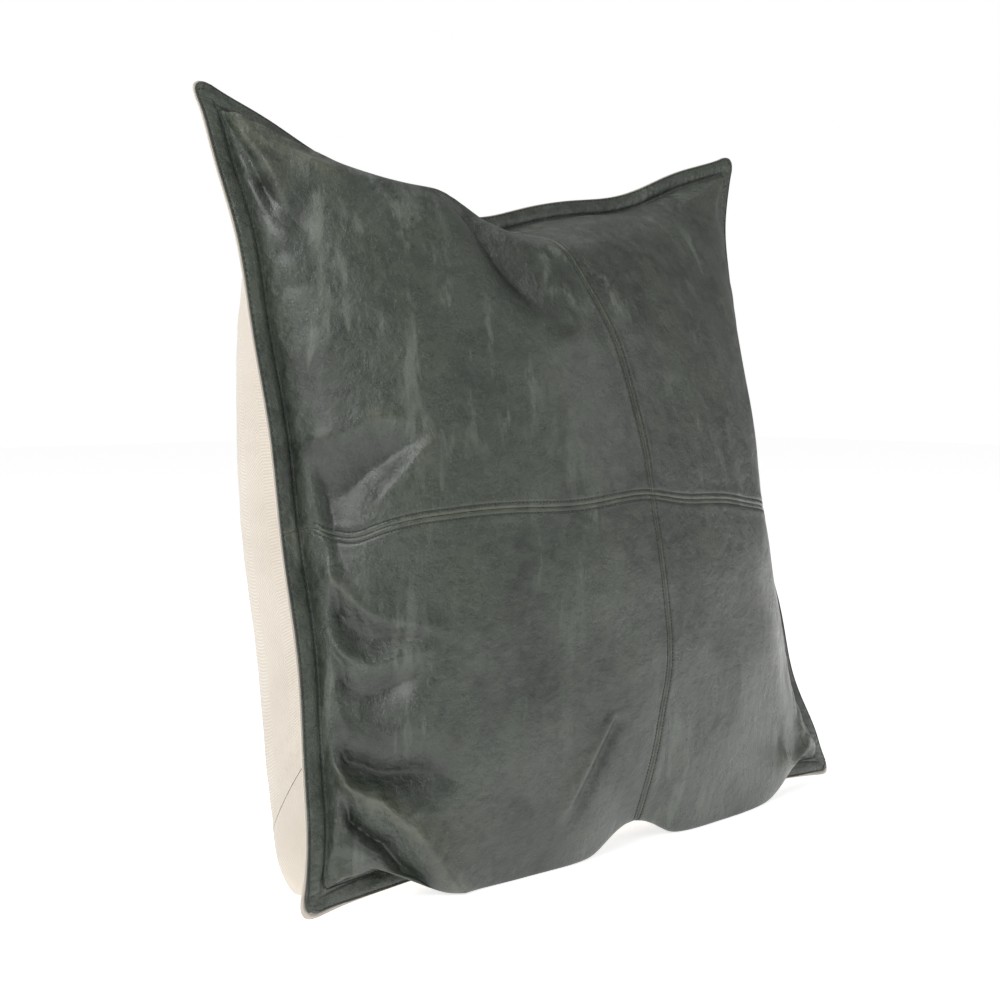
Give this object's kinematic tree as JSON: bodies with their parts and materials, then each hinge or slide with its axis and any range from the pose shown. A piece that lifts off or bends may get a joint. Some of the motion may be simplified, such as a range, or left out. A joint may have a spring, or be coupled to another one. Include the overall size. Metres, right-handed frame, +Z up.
{
  "type": "throw pillow",
  "caption": "Square throw pillow with a pieced leather front, a linen back that closes with a zip, a flat stitched flange and a feather insert.",
  "frame": {"origin": "on the floor, under the middle of the pillow's bounding box", "axes": "+Z up, the leather front faces -Y, +X to the right of somebody who looks at the front; the pillow leans back, towards +Y"},
  "size_m": [0.5062, 0.1994, 0.4983],
  "materials": {
    "leather": "semi-gloss waxed grain",
    "linen": "matte herringbone weave",
    "ticking": "matte tight plain weave",
    "fill": "matte",
    "dark_thread": "matte",
    "cream_thread": "matte",
    "tape": "matte",
    "nylon": "satin",
    "metal": "antique, brushed"
  },
  "bodies": {
    "pillow": {"leather_panel_upper_left": "leather", "leather_panel_upper_right": "leather", "leather_panel_lower_left": "leather", "leather_panel_lower_right": "leather", "linen_back_upper": "linen", "linen_back_lower": "linen", "seam_stitch_across_upper": "dark_thread", "seam_stitch_across_lower": "dark_thread", "seam_stitch_upper_left": "dark_thread", "seam_stitch_upper_right": "dark_thread", "seam_stitch_lower_left": "dark_thread", "seam_stitch_lower_right": "dark_thread", "flange_stitch_inner_front": "dark_thread", "flange_stitch_outer_front": "dark_thread", "flange_stitch_inner_back": "cream_thread", "flange_stitch_outer_back": "cream_thread", "zip_tape_upper": "tape", "zip_coil_upper": "nylon", "zip_stitch_upper": "cream_thread", "zip_top_stop_upper": "metal", "zip_tape_lower": "tape", "zip_coil_lower": "nylon", "zip_stitch_lower": "cream_thread", "zip_top_stop_lower": "metal", "zip_bottom_stop": "metal", "insert_ticking_front": "ticking", "insert_ticking_back": "ticking", "feather_filling": "fill"},
    "zip_slider_body": {"zip_slider": "metal"},
    "zip_pull_body": {"zip_pull": "metal"}
  },
  "joints": [
    {"name": "zip_slider_travel", "type": "hinge", "parent": "pillow", "child": "zip_slider_body", "pos_m": [0.00091, -0.6057, 0.07567], "axis": [0, 0.0723, 0.9974], "range_deg": [-31.1, 0]},
    {"name": "zip_pull_swing", "type": "hinge", "parent": "zip_slider_body", "child": "zip_pull_body", "pos_m": [-0.1757, 0.02747, 0.02892], "axis": [-0.076, 0.3419, 0.9367], "range_deg": [-86, 78]}
  ]
}
